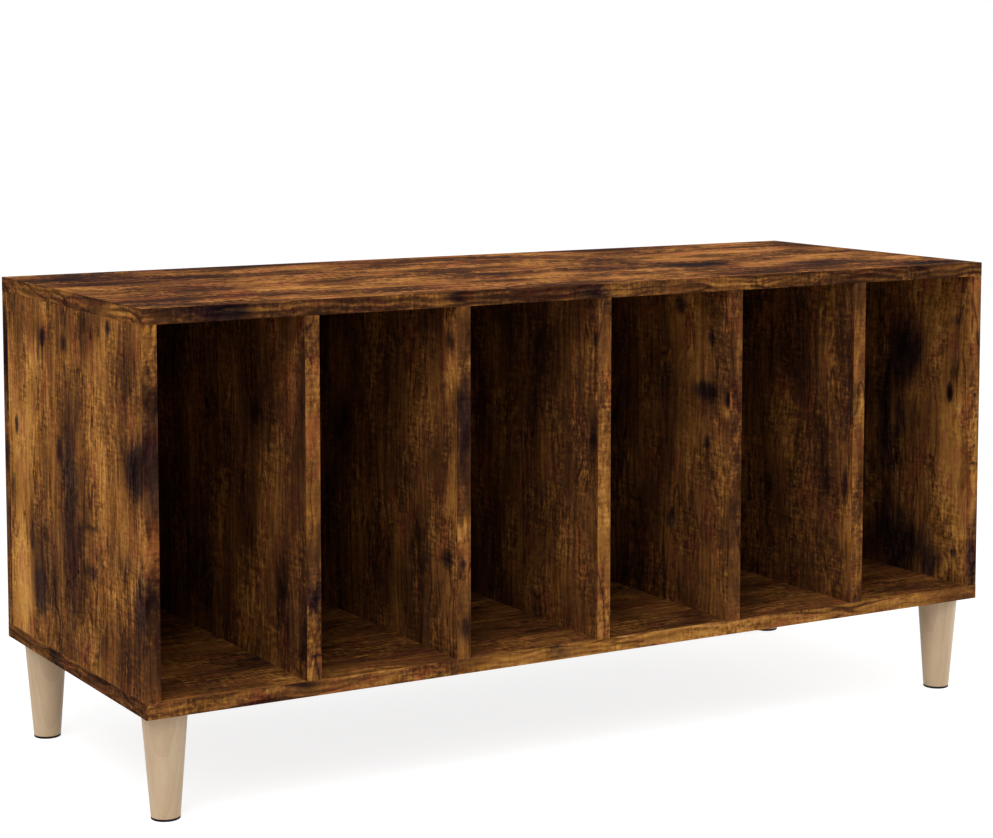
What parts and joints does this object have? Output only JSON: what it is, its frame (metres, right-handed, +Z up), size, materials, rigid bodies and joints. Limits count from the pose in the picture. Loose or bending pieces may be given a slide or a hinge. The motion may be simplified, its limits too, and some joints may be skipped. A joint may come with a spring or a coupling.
{
  "type": "record cabinet",
  "caption": "Low record cabinet of smoked-oak printed boards, with open upright record slots, on tapered round wooden legs.",
  "frame": {"origin": "on the floor, under the middle of the case", "axes": "+X to the right seen from the open front, along the cabinet's length; +Y to the back; +Z up"},
  "size_m": [1, 0.38, 0.484],
  "materials": {
    "printed_board": "satin smoked-oak print",
    "edge_band": "satin smoked-oak print",
    "cap_print": "satin smoked-oak print",
    "leg_wood": "pale matt lacquer",
    "glide_plastic": "matt black",
    "dowel_wood": "bare beech",
    "plated_steel": "zinc plated",
    "cam_zinc": "bare die-cast zinc"
  },
  "bodies": {
    "root": {"back_edge_bands": "edge_band", "back_panel": "printed_board", "back_screws": "plated_steel", "bottom_dowels": "dowel_wood", "bottom_edge_bands": "edge_band", "bottom_panel": "printed_board", "bottom_screws": "plated_steel", "cam_bolts": "plated_steel", "cam_cover_caps": "cap_print", "cam_locks": "cam_zinc", "divider_1": "printed_board", "divider_1_edge_band": "edge_band", "divider_2": "printed_board", "divider_2_edge_band": "edge_band", "divider_3": "printed_board", "divider_3_edge_band": "edge_band", "divider_4": "printed_board", "divider_4_edge_band": "edge_band", "divider_5": "printed_board", "divider_5_edge_band": "edge_band", "glide_front_left": "glide_plastic", "glide_front_right": "glide_plastic", "glide_nails": "plated_steel", "glide_rear_left": "glide_plastic", "glide_rear_right": "glide_plastic", "left_side_edge_band": "edge_band", "left_side_panel": "printed_board", "leg_front_left": "leg_wood", "leg_front_right": "leg_wood", "leg_hanger_bolts": "plated_steel", "leg_insert_nuts": "plated_steel", "leg_rear_left": "leg_wood", "leg_rear_right": "leg_wood", "right_side_edge_band": "edge_band", "right_side_panel": "printed_board", "top_dowels": "dowel_wood", "top_edge_bands": "edge_band", "top_panel": "printed_board"}
  },
  "joints": []
}
